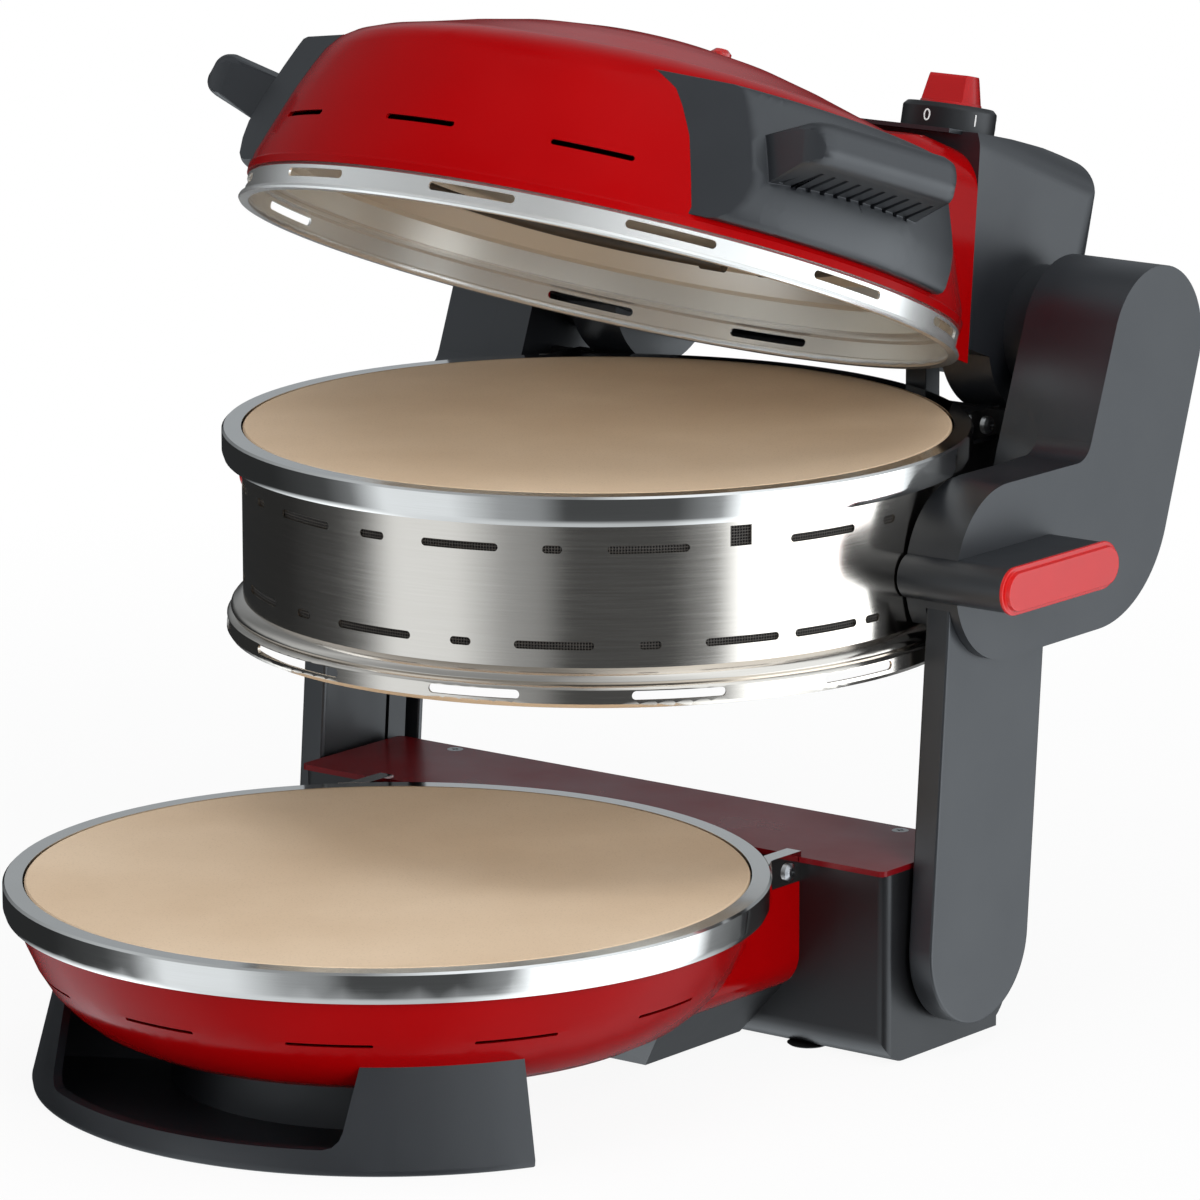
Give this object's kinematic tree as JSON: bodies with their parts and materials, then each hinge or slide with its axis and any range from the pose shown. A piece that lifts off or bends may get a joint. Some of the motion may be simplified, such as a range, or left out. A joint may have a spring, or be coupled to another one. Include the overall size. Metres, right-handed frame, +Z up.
{
  "type": "two-deck electric pizza maker",
  "caption": "Countertop pizza maker with a red bowl and dome, beige baking stones, a steel middle deck that swings up on level-keeping arms, and a tilting lid.",
  "frame": {"origin": "on the table, under the middle of the bounding box", "axes": "+Z up, the front towards -Y, +X across the width, to the right seen from the front; +Y is the depth and the longest extent"},
  "size_m": [0.455, 0.5706, 0.4755],
  "materials": {
    "black_plastic": "satin",
    "bronze": "satin",
    "brushed_steel": "brushed",
    "charcoal_plastic": "satin",
    "dark_mesh": "matt",
    "dark_red_enamel": "gloss",
    "heater_steel": "satin",
    "liner_steel": "satin",
    "pin_steel": "satin",
    "polished_steel": "polished",
    "red_enamel": "gloss",
    "red_lens": "clear",
    "red_plastic": "gloss",
    "rubber": "matt",
    "screw_steel": "polished",
    "stone": "matt"
  },
  "bodies": {
    "base": {"base_housing": "charcoal_plastic", "base_pan": "black_plastic", "front_foot": "charcoal_plastic", "rubber_feet": "rubber", "top_plate": "dark_red_enamel", "top_plate_screws": "screw_steel", "lower_shell": "red_enamel", "lower_rim": "polished_steel", "lower_rim_screws": "screw_steel", "lower_stone": "stone", "lower_heater": "heater_steel", "lower_reflector": "liner_steel", "shaft_bushes": "bronze", "link_low_pins": "pin_steel", "cord_gland": "rubber"},
    "arms": {"arm_cover_left": "charcoal_plastic", "arm_cover_right": "charcoal_plastic", "arm_link_left": "charcoal_plastic", "arm_link_right": "charcoal_plastic", "arm_shaft": "pin_steel"},
    "links": {"level_link_left": "charcoal_plastic", "level_link_right": "charcoal_plastic"},
    "deck": {"mid_rim": "polished_steel", "mid_rim_screws": "screw_steel", "mid_wall": "brushed_steel", "mid_mesh": "dark_mesh", "mid_flange": "brushed_steel", "mid_stone": "stone", "mid_heater": "heater_steel", "mid_tray": "liner_steel", "mid_low_heater": "heater_steel", "mid_reflector": "liner_steel", "mid_housing": "black_plastic", "wire_post": "black_plastic", "elbow_outer_left": "charcoal_plastic", "elbow_outer_right": "charcoal_plastic", "elbow_inner_left": "charcoal_plastic", "elbow_inner_right": "charcoal_plastic", "grip_left": "charcoal_plastic", "grip_right": "charcoal_plastic", "grip_cap_left": "red_plastic", "grip_cap_right": "red_plastic", "arm_pins": "pin_steel", "link_top_pins": "pin_steel", "hinge_pins": "pin_steel"},
    "lid": {"lid_shell": "red_enamel", "lid_skirt": "brushed_steel", "lid_reflector": "liner_steel", "lid_heater": "heater_steel", "lid_housing": "charcoal_plastic", "handle_left": "charcoal_plastic", "handle_right": "charcoal_plastic", "lamp_lens": "red_lens", "knob_bezel": "black_plastic"},
    "knob": {"knob": "red_plastic", "knob_shaft": "pin_steel"}
  },
  "joints": [
    {"name": "arm_swing", "type": "hinge", "parent": "base", "child": "arms", "pos_m": [0, 0.09005, 0.06418], "axis": [1, 0, 0], "range_deg": [0, 67.5]},
    {"name": "link_swing", "type": "hinge", "parent": "base", "child": "links", "pos_m": [0, 0.11342, 0.07729], "axis": [1, 0, 0], "range_deg": [0, 67.5]},
    {"name": "deck_level", "type": "hinge", "parent": "arms", "child": "deck", "pos_m": [0, 0.10266, 0.2245], "axis": [1, 0, 0], "range_deg": [-67.5, 0]},
    {"name": "lid_hinge", "type": "hinge", "parent": "deck", "child": "lid", "pos_m": [0, 0.22516, 0.3123], "axis": [1, 0, 0], "range_deg": [0, 20.9]},
    {"name": "knob_turn", "type": "hinge", "parent": "lid", "child": "knob", "pos_m": [0.084, 0.2064, 0.40434], "axis": [0, 0.225, 0.9744], "range_deg": [0, 180]}
  ],
  "couplings": [
    {"joint": "link_swing", "follows": "arm_swing", "ratio": 1},
    {"joint": "deck_level", "follows": "arm_swing", "ratio": -1}
  ]
}
